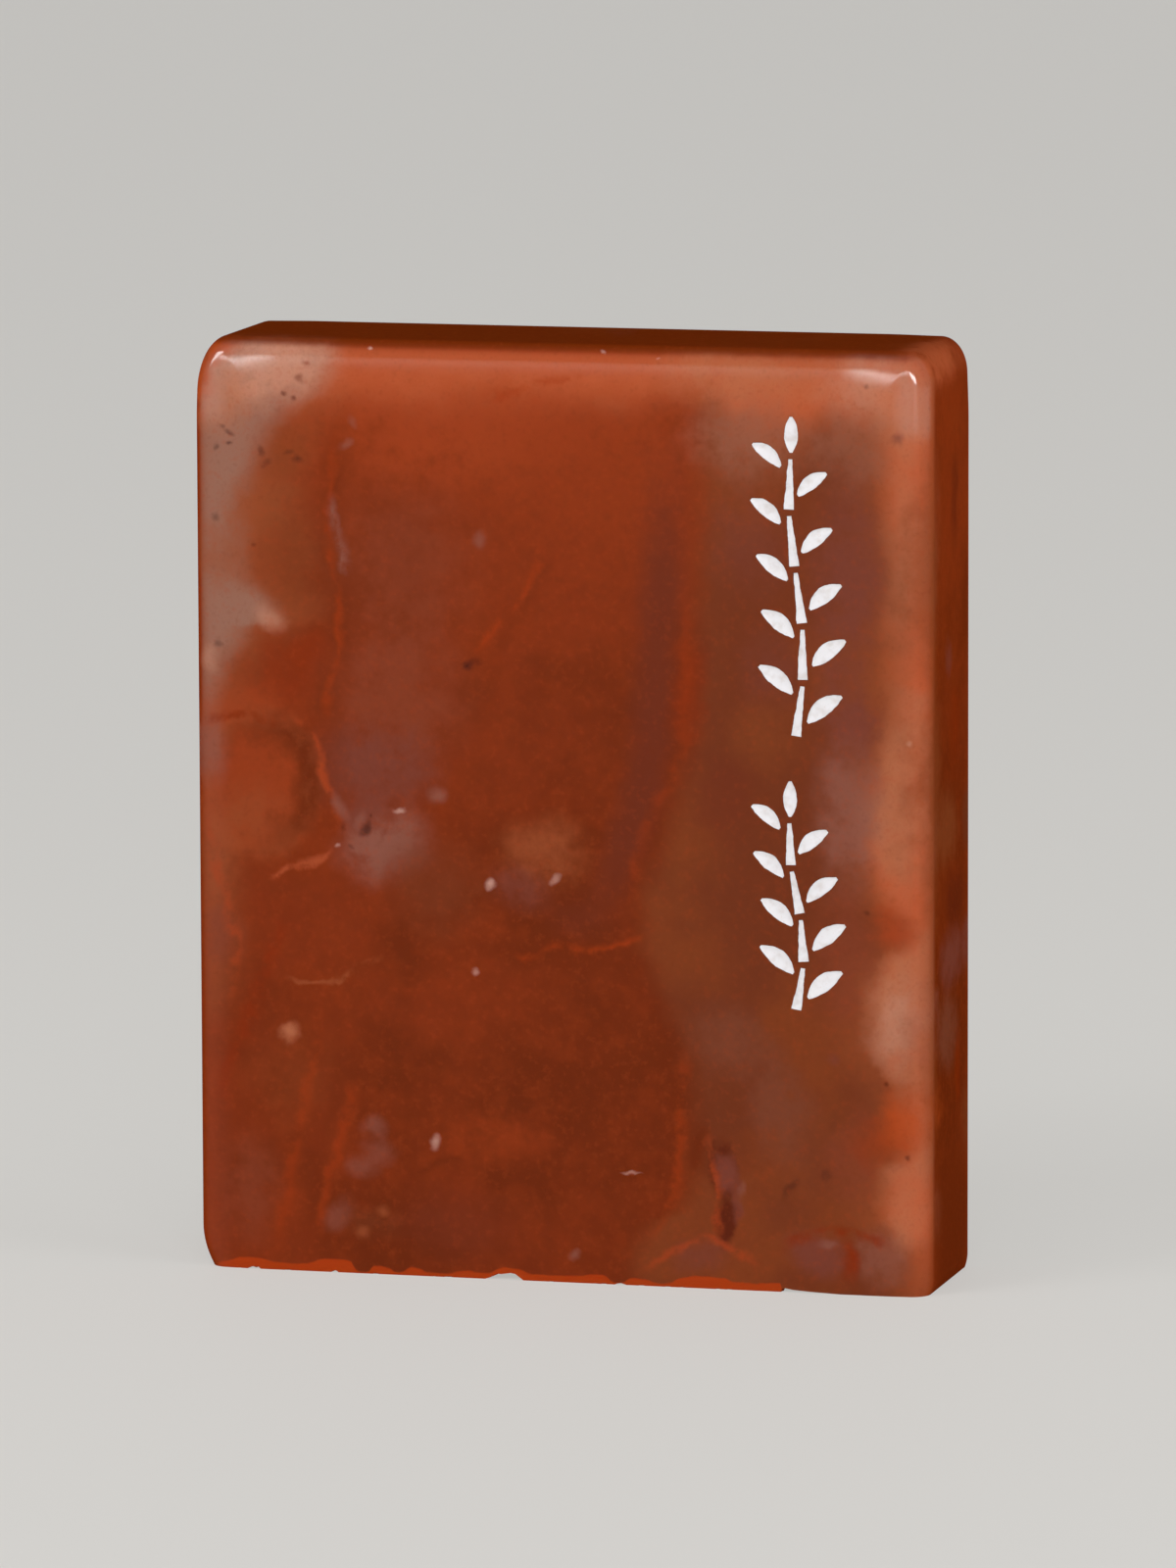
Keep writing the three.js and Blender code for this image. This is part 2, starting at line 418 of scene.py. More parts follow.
def blockOutline():
    leftReach, leftDrop = block["leftCorner"]
    rightReach, rightDrop = block["rightCorner"]
    leftTuck, leftRise = block["leftFoot"]
    rightTuck, rightRise = block["rightFoot"]
    steps = block["cornerSteps"]
    points = [(-halfWidth + leftTuck, -block["skirt"]), (halfWidth - rightTuck, -block["skirt"])]
    points.append((halfWidth - rightTuck, 0.0))
    foot = (halfWidth, rightRise / 2)
    points += bezier(points[-1], foot, (halfWidth, rightRise), block["footSteps"])
    leadSteps = block["leadSteps"]
    lead = [block["cornerLead"] * (leadSteps - i) / leadSteps for i in range(leadSteps)]
    points += [(halfWidth, blockHeight - rightDrop - run) for run in lead]
    for i in range(steps + 1):
        turn = i / steps * math.pi / 2
        x = halfWidth - rightReach * (1 - math.cos(turn))
        points.append((x, blockHeight - rightDrop * (1 - math.sin(turn))))
    points += [(halfWidth - rightReach - run, blockHeight) for run in lead[::-1]]
    points += [(-halfWidth + leftReach + run, blockHeight) for run in lead]
    for i in range(steps + 1):
        turn = math.pi / 2 * (1 + i / steps)
        x = -halfWidth + leftReach * (1 + math.cos(turn))
        points.append((x, blockHeight - leftDrop * (1 - math.sin(turn))))
    points += [(-halfWidth, blockHeight - leftDrop - run) for run in lead[::-1]]
    points.append((-halfWidth, leftRise))
    foot = (-halfWidth, leftRise / 2)
    points += bezier(points[-1], foot, (-halfWidth + leftTuck, 0.0), block["footSteps"])
    return points


# The outline drawn in by an inset, at a depth that grows towards the top corners.
def insetRing(points, inset, depth):
    far, near = block["cornerReach"]
    ring = []
    for i, point in enumerate(points):
        here = Vector(point)
        before = (here - Vector(points[i - 1])).normalized()
        after = (Vector(points[(i + 1) % len(points)]) - here).normalized()
        out = Vector((before.y + after.y, -before.x - after.x)) / (1 + before.dot(after))
        share = (far - math.hypot(halfWidth - abs(here.x), blockHeight - here.y)) / (far - near)
        share = min(1, max(0, share))
        nearness = share * share * (3 - 2 * share)
        deep = depth * (1 + block["cornerGrowth"] * nearness)
        moved = here - out * inset
        ring.append((moved.x, deep + block["fallDepth"] * (1 + block["cornerFall"] * nearness), moved.y))
    return ring


def roundedBlock():
    outline = blockOutline()
    radius = block["edgeRadius"]
    skirt = block["skirt"]
    slope = math.atan(2 * block["fallDepth"] / block["fallWidth"])
    half = []  # rings from the flat of a face out to the side
    for i in range(block["roundSteps"] + 1):
        turn = slope + i / block["roundSteps"] * (math.pi / 2 - slope)
        depth = radius * (math.cos(slope) - math.cos(turn))
        half.append(insetRing(outline, radius * (1 - math.sin(turn)), depth))
    edge = half[0]
    for i in range(1, block["fallSteps"] + 1):
        share = i / block["fallSteps"]
        widthLeft = 1 - share * block["fallWidth"] / halfWidth
        heightLeft = 1 - share * block["fallWidth"] / (blockHeight + skirt)
        left = (1 - share) ** 2
        ring = [(px * widthLeft, py * left, (pz + skirt) * heightLeft - skirt) for px, py, pz in edge]
        half.insert(0, ring)
    rings = [[(px, front + py, pz) for px, py, pz in ring] for ring in half]
    rings += [[(px, back - py, pz) for px, py, pz in ring] for ring in half[::-1]]
    shape = loft(rings)
    geometry = shape.verts[:] + shape.edges[:] + shape.faces[:]
    down = (0, 0, -1)
    bmesh.ops.bisect_plane(shape, geom=geometry, plane_co=(0, 0, 0), plane_no=down, clear_outer=True)
    bmesh.ops.holes_fill(shape, edges=[edge for edge in shape.edges if edge.is_boundary])
    return newPiece("stone_body", shape)


# A cut or leaf along +X from the origin: an outline that swells or tapers and arches.
def cutOutline(cut, grow, steps):
    halfBase = cut["base"] / 2 + grow
    halfTip = cut["tip"] / 2 + grow
    swell = cut["middle"] + 2 * grow - (halfBase + halfTip) / 2
    arch = 2 * cut.get("bow", 0)
    middle = cut["length"] / 2
    end = cut["length"] + grow
    sides = []
    for side in (-1, 1):
        start = (-grow, side * halfBase)
        bend = (middle, arch + side * swell)
        sides.append([start] + bezier(start, bend, (end, side * halfTip), steps))
    return sides


def faceField():
    fieldX = halfWidth - max(block["leftFoot"][0], block["rightFoot"][0]) - carvedFace["frame"]
    fieldY = back - carvedFace["frame"]
    columns = round(2 * fieldX / carvedFace["floorStep"])
    rows = round(2 * fieldY / carvedFace["floorStep"])
    shape = bmesh.new()
    leanX = 1 - carvedFace["draft"] / fieldX
    leanY = 1 - carvedFace["draft"] / fieldY
    grid = []
    for j in range(rows + 1):
        line = []
        for i in range(columns + 1):
            x = fieldX * leanX * (2 * i / columns - 1)
            y = fieldY * leanY * (2 * j / rows - 1)
            ripple = noise.noise(Vector((x * 1.3 + y, y * 2.6 - x, 3.0)))
            deep = carvedFace["depth"] - carvedFace["floorRipple"] * abs(ripple)
            line.append(shape.verts.new((x, y, deep)))
        grid.append(line)
    closeGrid(shape, grid, lambda at: (at.x / leanX, at.y / leanY, -overshoot))
    return newPiece("field", shape), fieldX, fieldY


def raised(name, outline, lean):  # a relief of the seal face, broader at its root
    levels = ((-2 * overshoot, 0.0), (0.0, 0.0), (carvedFace["depth"] + overshoot, lean))
    rings = []
    for z, grow in levels:
        ring = []
        for i, point in enumerate(outline):
            here = Vector(point)
            along = Vector(outline[(i + 1) % len(outline)]) - Vector(outline[i - 1])
            out = Vector((along.y, -along.x)).normalized()
            ring.append((here.x + out.x * grow, here.y + out.y * grow, z))
        rings.append(ring)
    return newPiece(name, loft(rings))


def carveSealFace(stone):
    field, fieldX, fieldY = faceField()
    swing = fieldY - carvedFace["stemClear"] - carvedFace["stem"] / 2
    lean = carvedFace["draft"] * 2
    length = fieldX + overshoot
    steps = round(carvedFace["stemSteps"] * 2 * length / carvedFace["wave"])
    lower, upper = [], []
    for i in range(steps + 1):
        x = -length + 2 * length * i / steps
        turn = 2 * math.pi * x / carvedFace["wave"]
        slope = 2 * math.pi * swing * math.cos(turn) / carvedFace["wave"]
        stray = carvedFace["stemWaver"] * noise.noise(Vector((x, 0, 9)))
        reach = carvedFace["stem"] * math.hypot(1, slope) / 2 * (1 + stray)
        lower.append((x, swing * math.sin(turn) - reach))
        upper.append((x, swing * math.sin(turn) + reach))
    carve(field, raised("stem", lower + upper[::-1], lean))
    leafShape = {"length": carvedFace["leafLength"], "base": carvedFace["leafBase"],
                 "middle": carvedFace["leafWidth"], "tip": carvedFace["leafTip"]}
    crests = math.floor(2 * fieldX / carvedFace["wave"] + 0.5)
    for i in range(-crests, crests):
        side = 1 if i % 2 == 0 else -1
        under, over = cutOutline(leafShape, 0, carvedFace["leafSteps"])
        turn = -side * math.radians(90 - carvedFace["leafTilt"])
        x0 = (i + 0.5) * carvedFace["wave"] / 2
        points = []
        for x, y in under + over[::-1]:
            points.append((x0 + x * math.cos(turn) - y * math.sin(turn),
                           side * swing + x * math.sin(turn) + y * math.cos(turn)))
        carve(field, raised("leaf", points, lean))
    carve(stone, field)


def biteFrame(stone):
    for name, profile in bites.items():
        heights = [(-halfWidth + x, z) for x, z in profile]
        ring = [(heights[0][0], -overshoot), (heights[-1][0], -overshoot)] + heights[::-1]
        rings = [[(x, front - overshoot, z) for x, z in ring]]
        for share, shift in biteSway:
            y = front + share * biteDepth
            rings.append([(x + shift, y, z if z <= 0 else z * (1 - shift)) for x, z in ring])
        carve(stone, newPiece(name, loft(rings)))


def chipFoot(stone):
    rand = random.Random(chips["seed"])
    cutters = bmesh.new()
    innerX = halfWidth - block["leftFoot"][0] - carvedFace["frame"]
    innerY = back - carvedFace["frame"]
    fromLeft, fromRight = chips["ends"]
    for i in range(chips["count"]):
        x = rand.uniform(-halfWidth + fromLeft, halfWidth - fromRight)
        y = rand.choice((front, back, front, -innerY, innerY))
        atEnd = i % chips["perEndChip"] == 0
        if atEnd:
            x = rand.choice((-innerX, innerX))
            y = rand.uniform(-innerY, innerY)
        size = rand.uniform(*chips["size"])
        made = bmesh.ops.create_icosphere(cutters, subdivisions=1, radius=size)
        stretch = rand.uniform(*chips["stretch"])
        for v in made["verts"]:
            v.co.x *= 1 if atEnd else stretch
            v.co *= rand.uniform(*chips["crumple"])
            v.co.z -= chips["sunk"] * size
            v.co += Vector((x, y, 0))
    carve(stone, newPiece("shards", cutters), crossing=True)


# Sprigs of knife cuts
sprig = {
    "fromRight": 7.15,  # middle of the column to the right side
    "fromTop": 3.5,
    "upperHeight": 16.8,
    "lowerHeight": 12.1,
    "between": 2.4,
    "sway": 0.4,
    "upperCuts": 5,
    "lowerCuts": 4,
    "stemGap": 0.35,
    "stemWidth": 0.55,
    "stemTip": 0.22,
    "leafLength": 2.35,
    "leafShrink": 0.2,
    "leafWidth": 0.92,
    "leafTip": 0.14,
    "leafBow": 0.14,
    "leafOut": 0.5,
    "leafAngle": 38,
    "depth": 0.35,
    "gap": 0.03,  # between a fill and the stone in the solids
    "sunk": 0.05,
}
knife = {
    "steps": 26,  # along a cut's edge
    "across": 8,
    "waver": 0.035,  # how far an edge strays from its curve
    "lip": 0.035,  # the cut's rounded lip
    "seam": 0.008,  # between a fill and the stone as it is seen
    "trough": 0.07,  # how far a fill sinks towards its middle
    "grain": 0.02,
    "endSlope": 6,  # how quickly the trough deepens from the ends
    "troughShape": 1.5,
    "smoothBelow": 50,  # degrees
}


def sprigCuts(name, top, height, stemCuts):
    middle = halfWidth - sprig["fromRight"]
    foot = top - height
    stemTop = height - sprig["leafLength"] * (1 - sprig["leafShrink"])
    pitch = stemTop / stemCuts
    lift = math.radians(sprig["leafAngle"])

    def centre(rise):
        return middle + sprig["sway"] * math.sin(2 * math.pi * rise / height)

    def leaf(rise):
        size = 1 - sprig["leafShrink"] * rise / stemTop
        return {"length": sprig["leafLength"] * size, "middle": sprig["leafWidth"] * size,
                "base": sprig["leafTip"], "tip": sprig["leafTip"]}

    cuts = []
    for i in range(stemCuts):
        low = i * pitch
        high = low + pitch - sprig["stemGap"]
        run = centre(high) - centre(low)
        cuts.append({"name": f"{name}_stem_{i + 1}", "x": centre(low), "z": foot + low,
                     "angle": math.atan2(high - low, run), "length": math.hypot(high - low, run),
                     "base": sprig["stemWidth"], "middle": (sprig["stemWidth"] + sprig["stemTip"]) / 2,
                     "tip": sprig["stemTip"]})
    for i in range(2 * stemCuts):
        side = -1 if i % 2 else 1
        rise = (i + 0.5) * pitch / 2
        cuts.append({"name": f"{name}_leaf_{i + 1}", "x": centre(rise) + side * sprig["leafOut"],
                     "z": foot + rise, "angle": lift if side > 0 else math.pi - lift,
                     "bow": side * sprig["leafBow"], **leaf(rise)})
    cuts.append({"name": f"{name}_tip_leaf", "x": centre(stemTop), "z": foot + stemTop,
                 "angle": math.pi / 2, **leaf(stemTop)})
    return cuts


def allCuts():
    top = blockHeight - sprig["fromTop"]
    nextTop = top - sprig["upperHeight"] - sprig["between"]
    return (sprigCuts("upper_sprig", top, sprig["upperHeight"], sprig["upperCuts"])
            + sprigCuts("lower_sprig", nextTop, sprig["lowerHeight"], sprig["lowerCuts"]))


# The two wavering edges of a cut on the front, as lists of (x, z).
def cutEdges(cut, grow):
    lower, upper = cutOutline(cut, grow, knife["steps"])
    seed = cut["x"] * 7.3 + cut["z"] * 3.1
    edges = []
    for side, line in ((-1, lower), (1, upper)):
        moved = []
        for x, y in line:
            slow = noise.noise(Vector((x * 2.3, seed, side * 4.0)))
            quick = noise.noise(Vector((x * 6.1, seed, side * 9.0)))
            y += side * knife["waver"] * (slow + 0.5 * quick)
            turnX = x * math.cos(cut["angle"]) - y * math.sin(cut["angle"])
            turnZ = x * math.sin(cut["angle"]) + y * math.cos(cut["angle"])
            moved.append((cut["x"] + turnX, cut["z"] + turnZ))
        edges.append(moved)
    return edges


def cutGrooves(stone, cuts):
    cutters = bmesh.new()
    for cut in cuts:
        levels = ((front - overshoot, knife["lip"]), (front, knife["lip"]),
                  (front + knife["lip"], knife["seam"]), (front + sprig["depth"], knife["seam"]))
        rings = []
        for y, grow in levels:
            lower, upper = cutEdges(cut, grow)
            rings.append([(x, y, z) for x, z in lower + upper[::-1]])
        loft(rings, cutters)
    carve(stone, newPiece("grooves", cutters))


def pigmentFill(cut, material):
    lower, upper = cutEdges(cut, 0)
    shape = bmesh.new()
    count = knife["across"]
    grid = []
    for i, (low, high) in enumerate(zip(lower, upper)):
        along = i / knife["steps"]
        ends = min(1.0, knife["endSlope"] * min(along, 1 - along))
        line = []
        for j in range(count + 1):
            v = j / count
            x = low[0] + (high[0] - low[0]) * v
            z = low[1] + (high[1] - low[1]) * v
            hollow = knife["trough"] * (1 - abs(2 * v - 1) ** knife["troughShape"]) * ends
            grain = knife["grain"] * noise.noise(Vector((x * 5, z * 5, 1.0)))
            line.append(shape.verts.new((x, front + sprig["sunk"] + hollow + grain, z)))
        grid.append(line)
    deep = front + sprig["depth"] - sprig["gap"]
    closeGrid(shape, grid, lambda at: (at.x, deep, at.z))
    piece = newPiece(cut["name"] + "_paint", shape)
    shadeSmooth(piece, knife["smoothBelow"])
    toMetres(piece)
    piece.data.materials.append(material)
    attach(piece, "root")
    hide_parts(cut["name"])


# Finish of the pigment
pigment = {
    "white": (232, 230, 233),
    "dust": (205, 196, 192),
    "stain": (206, 168, 150),
    "dustShare": 0.6,
    "stainShare": 0.35,
    "poreDepth": 0.03,  # millimetres
}


def pigmentFinish():
    shader = Shader("white_pigment")
    place = shader.place()
    patches = shader.speckle(place, 1.6, 4)
    dusty = shader.ease(patches, 0.45, 0.75) * pigment["dustShare"]
    colour = shader.mix(dusty, tone(*pigment["white"]), tone(*pigment["dust"]))
    pores = shader.speckle(place, 9.0, 3, 0.6)
    stained = shader.ease(pores, 0.62, 0.75) * pigment["stainShare"]
    colour = shader.mix(stained, colour, tone(*pigment["stain"]))
    sockets = {"Strength": 0.5, "Distance": pigment["poreDepth"] * mm, "Height": pores}
    bump = shader.node("ShaderNodeBump", None, sockets)
    sockets = {
        "Base Color": colour,
        "Roughness": 0.8,
        "Specular IOR Level": 0.25,
        "Normal": shader.out(bump),
    }
    return shader.finish(shader.node("ShaderNodeBsdfPrincipled", None, sockets))


# Figure of the stone
tones = {
    "field": tone(122, 46, 19),
    "deep": tone(105, 40, 16),
    "ember": tone(137, 52, 21),
    "rust": tone(128, 42, 13),
    "flame": tone(157, 63, 29),
    "blaze": tone(176, 72, 28),
    "clay": tone(144, 72, 40),
    "peach": tone(184, 90, 54),
    "sand": tone(178, 106, 74),
    "tan": tone(146, 102, 85),
    "cream": tone(190, 132, 108),
    "gold": tone(124, 60, 30),
    "olive": tone(110, 52, 29),
    "haze": tone(128, 60, 38),
    "putty": tone(144, 88, 67),
    "ash": tone(118, 62, 41),
    "vein": tone(152, 54, 18),
    "plum": tone(106, 45, 27),
    "mauve": tone(118, 60, 46),
    "lilac": tone(136, 84, 70),
    "maroon": tone(88, 33, 18),
    "umber": tone(118, 46, 15),
    "ink": tone(60, 27, 22),
    "chalk": tone(196, 150, 136),
    "lip": tone(166, 58, 17),
}
# Borders of the large pale zones of the front where glow and reflection are painted, as points: height and
# x, or x and height for the band.
leftGlowBorder = [
    (-1, -24), (12, -23), (15, -21), (27.5, -20.8), (29.5, -19.8), (31, -19.2), (33, -18.2),
    (34.4, -17.4), (35.2, -15.9), (36.4, -16.8), (38, -17.7), (40, -17.6), (42, -17.2), (44, -16.5),
    (45.2, -15.8), (46.4, -14.6), (47.5, -13.3), (50, -12.6),
]
rightGlowBorder = [
    (-1, 20), (2, 19.6), (3.5, 18.3), (5, 17.3), (6.6, 17.5), (8.2, 18.8), (10, 18.6), (12, 17.6),
    (14, 16.9), (16, 16.7), (18, 17.5), (19.5, 18.8), (20.5, 17.9), (22.5, 16.8), (25, 16.3),
    (27, 16.6), (29.5, 17.4), (32, 17.9), (36, 17.8), (40, 17.7), (43, 17.5), (46, 17), (48, 16.2),
    (50, 15.4),
]
topGlowBorder = [
    (-20, 46.6), (-13, 47), (-10, 46.8), (-7, 46.4), (-4, 46.8), (0, 47), (3.7, 46.8), (6.5, 47.5),
    (9, 46.6), (11, 45.4), (13, 45.6), (15, 46.4), (20, 46.4),
]
# Where the redder stone gives way to the browner one on the right: height and x.
turning = [
    (-1, 3.4), (1.5, 3.6), (3.5, 4.6), (4.5, 6.2), (9, 6.8), (11, 6.6), (14.5, 5.6), (17, 4.6),
    (19.5, 3.9), (21.6, 4.4), (23.7, 5.2), (26.3, 6), (28, 6.4), (33, 6.9), (40, 7.2), (50, 7),
]
# Soft clouds: x, z, half width, half height, tone and strength, then softness where it is not the
# usual one, and tilt to the right in degrees.
clouds = [
    (-15.8, 48.4, 5.2, 2.8, "cream", 0.9, 0.8),  # pale top left corner
    (-18.6, 46.8, 3, 2.4, "sand", 0.6),
    (-19.9, 47.6, 1.3, 2.6, "blaze", 0.9),  # glow round it
    (-18.6, 49.6, 2.4, 1.2, "blaze", 0.9, 0.9, -25),
    (-18.6, 38.4, 3, 2.4, "clay", 0.6),
    (-16, 41, 3.2, 2.6, "clay", 0.8),  # glow beside it
    (-14.3, 44, 2.4, 2.2, "gold", 0.8),
    (-14.2, 38.6, 2.8, 5, "gold", 0.6),
    (-14.8, 32.6, 4.6, 2.6, "rust", 0.6),
    (-17.4, 30.2, 4, 2.6, "flame", 0.5),
    (-3.6, 45.2, 16, 4.6, "flame", 0.7),  # glowing band under the top
    (2.2, 42.6, 8, 5.4, "ember", 0.8),
    (-8.6, 38, 6.5, 6, "haze", 0.5),  # reddish haze right of the long vein
    (-8.8, 31, 5.4, 6, "haze", 0.75),
    (-9.9, 27.2, 4.8, 3.2, "mauve", 0.85, 0.8),
    (-16.2, 26.3, 3.9, 4.7, "clay", 0.75, 0.4),  # lens at the left side, with a dark crescent
    (-16.1, 26.4, 3.4, 4.1, "deep", 0.95, 0.35),
    (-16.9, 26, 3.5, 4.3, "flame", 0.65, 0.5),
    (-16.4, 24.6, 2.6, 2.4, "clay", 0.5),
    (-18.6, 22.4, 2.2, 5, "clay", 0.55),
    (-19.4, 28, 1.8, 2.6, "lilac", 0.6),
    (-18.4, 18.2, 1.6, 2.6, "haze", 0.8),
    (-9.3, 22.8, 3.6, 2.8, "lilac", 0.9, 0.9, -25),  # cloudy cluster in the middle left
    (-10.2, 24.6, 1.8, 1.3, "mauve", 0.8, 0.9, -25),
    (-6.8, 20.8, 3.6, 4, "olive", 0.6),
    (-1.1, 23, 3.2, 2.5, "clay", 0.85),
    (-2.4, 21, 2.2, 1.7, "mauve", 0.7),
    (-2.2, 17.8, 2.6, 1, "deep", 0.8),
    (0.6, 19.8, 2.6, 1.8, "plum", 0.5),
    (10, 48.8, 6.4, 2.4, "sand", 0.6),  # paler top on the right
    (10.6, 45.4, 4.4, 3.4, "putty", 0.75),
    (16.4, 48, 3, 2.6, "cream", 0.5),
    (10.4, 40, 3.2, 4.6, "mauve", 0.45),
    (11.4, 33, 2.6, 3.4, "mauve", 0.5),
    (11.2, 29.2, 3.2, 3, "gold", 0.7),
    (8.8, 26, 2.6, 3, "plum", 0.6),
    (7, 31.4, 1.4, 5, "rust", 0.5),
    (9, 13.4, 3, 2.6, "ash", 0.9),  # grey streak down to the right
    (11.8, 10.2, 2.6, 6.2, "ash", 0.9, 0.9, -25),
    (18.8, 39.6, 2, 9, "sand", 0.5),
    (15.6, 45, 3, 3.6, "putty", 0.55),  # mauve column left of the right strip
    (15.6, 37.4, 3, 8, "mauve", 0.85),
    (15.8, 30.4, 2.6, 4.4, "mauve", 0.9),
    (15.6, 25.2, 2.8, 5.6, "lilac", 0.75),
    (15.4, 18.2, 2.4, 5, "haze", 0.7),
    (14.6, 7.2, 2.4, 3, "olive", 0.6, 0.9, -25),
    (16.2, 7.6, 2.2, 3.4, "haze", 0.7),
    (18.6, 23.6, 2.2, 3.6, "sand", 0.7),
    (18.4, 14.6, 2.2, 3.4, "cream", 0.7),
    (17.8, 19.6, 1.8, 1.7, "flame", 0.8, 0.9, 30),  # glowing patches in the strip
    (18.6, 9.4, 2.2, 2.8, "blaze", 0.85),
    (19.2, 3.9, 1.8, 2.6, "sand", 0.6),
    (17.2, 8.4, 2, 2, "ember", 0.5),
    (8.9, 6.5, 1, 2, "maroon", 0.7, 0.5, -25),  # dark lenses low on the right
    (9.2, 6.3, 0.8, 1.7, "mauve", 0.95, 0.6, -25),
    (9.3, 3.8, 0.9, 2.2, "maroon", 0.95, 0.5),
    (9.9, 4.6, 0.4, 1.4, "mauve", 0.7),
    (7.5, 7.6, 0.8, 1.8, "deep", 0.9, 0.8),
    (12.6, 4.4, 2.2, 2.2, "olive", 0.7, 0.9, -25),
    (8, 1.6, 2.2, 1.5, "mauve", 0.6, 0.8),
    (14.3, 2, 2.2, 2, "mauve", 0.85, 0.8),
    (17.6, 2, 2.4, 2.4, "lilac", 0.5, 0.8, -25),
    (15.8, 1.8, 0.7, 1.9, "rust", 0.9, 0.8),
    (-14.8, 12.9, 0.8, 0.75, "sand", 0.9),  # pale eye
    (-16.9, 4.2, 2.4, 4.4, "haze", 0.6),
    (-14.6, 10.6, 3.6, 4, "gold", 0.3),
    (-10.3, 7.9, 1, 1, "lilac", 0.45),  # lilac specks low on the left
    (-10, 6.6, 1.3, 1, "lilac", 0.35, 0.9, 30),
    (-10.9, 5.7, 1.2, 0.9, "lilac", 0.4),
    (-12.3, 3, 1, 1.6, "lilac", 0.4, 0.9, 30),
    (-10.6, 2.6, 2.4, 1.4, "olive", 0.5),
    (-3.6, 7.8, 4.4, 2.2, "ember", 0.8),
    (-6, 2.8, 5, 2.6, "plum", 0.5),
]
# Clouds of the right side: y, z, half width, half height, tone, strength.
sideClouds = [
    (-1.5, 49.6, 6.5, 2.5, "peach", 0.8), (0, 46, 5, 3, "ember", 0.6), (-4.4, 38, 1.8, 9, "gold", 0.7),
    (-4, 26, 2, 9, "gold", 0.7), (-4.4, 13, 1.6, 8, "gold", 0.5), (0.8, 41.6, 1.2, 3.6, "maroon", 0.5),
    (3.4, 36, 1, 4, "deep", 0.7), (-0.6, 33.4, 1, 1.4, "mauve", 0.5), (0.6, 29.6, 2, 3, "rust", 0.5),
    (-1, 24.4, 3.6, 2.6, "gold", 0.9), (3.6, 24.6, 1.6, 2, "olive", 0.8),
    (1, 20.6, 2.6, 2.2, "maroon", 0.6), (0.6, 17.4, 4, 2.4, "mauve", 0.9),
    (3.8, 17.8, 1.4, 1.8, "mauve", 0.8), (-0.6, 13.4, 3.4, 3, "ash", 0.9),
    (1.6, 11, 1, 2.6, "rust", 0.6), (3.6, 8.2, 1.8, 2.6, "gold", 0.6), (0.4, 3.4, 6, 4.6, "deep", 0.8),
]
